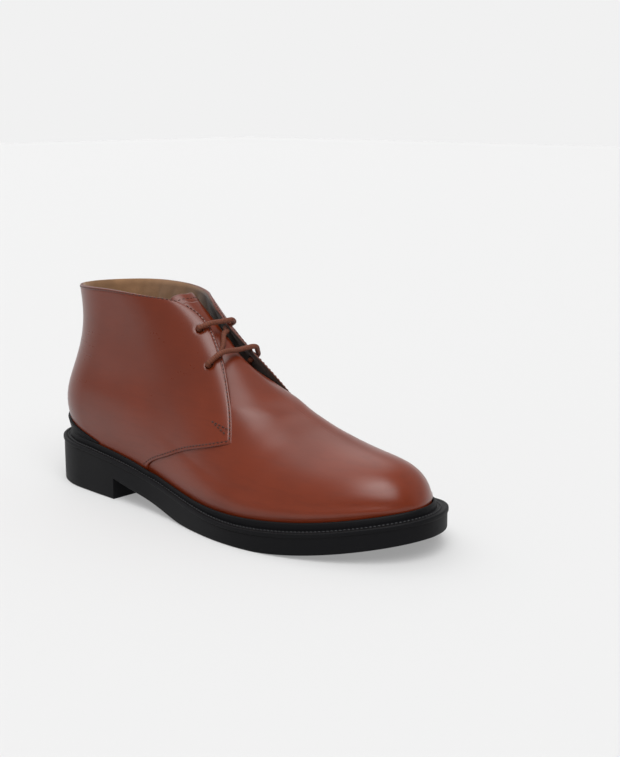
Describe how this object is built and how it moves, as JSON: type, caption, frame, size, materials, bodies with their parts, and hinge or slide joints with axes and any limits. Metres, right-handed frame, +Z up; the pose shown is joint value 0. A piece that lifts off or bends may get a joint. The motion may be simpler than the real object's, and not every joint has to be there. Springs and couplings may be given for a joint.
{
  "type": "chukka boot",
  "caption": "Right ankle boot in smooth brown leather with raised quarters, open throat with a tongue, short bar lacing and a black welted rubber sole with a low heel.",
  "frame": {"origin": "on the ground under the middle of the heel, in the flat face of the heel", "axes": "+X towards the toe, +Y towards the inner side of the foot, +Z up"},
  "size_m": [0.2993, 0.1145, 0.1315],
  "materials": {
    "upper_leather": "smooth, polished",
    "tongue_leather": "smooth",
    "insole_leather": "matt",
    "sole_rubber": "matt",
    "lace_cord": "waxed"
  },
  "bodies": {
    "root": {"outsole": "sole_rubber", "welt": "sole_rubber", "heel_guard": "sole_rubber", "insole": "insole_leather", "upper": "upper_leather", "tongue": "tongue_leather", "lace": "lace_cord"}
  },
  "joints": []
}
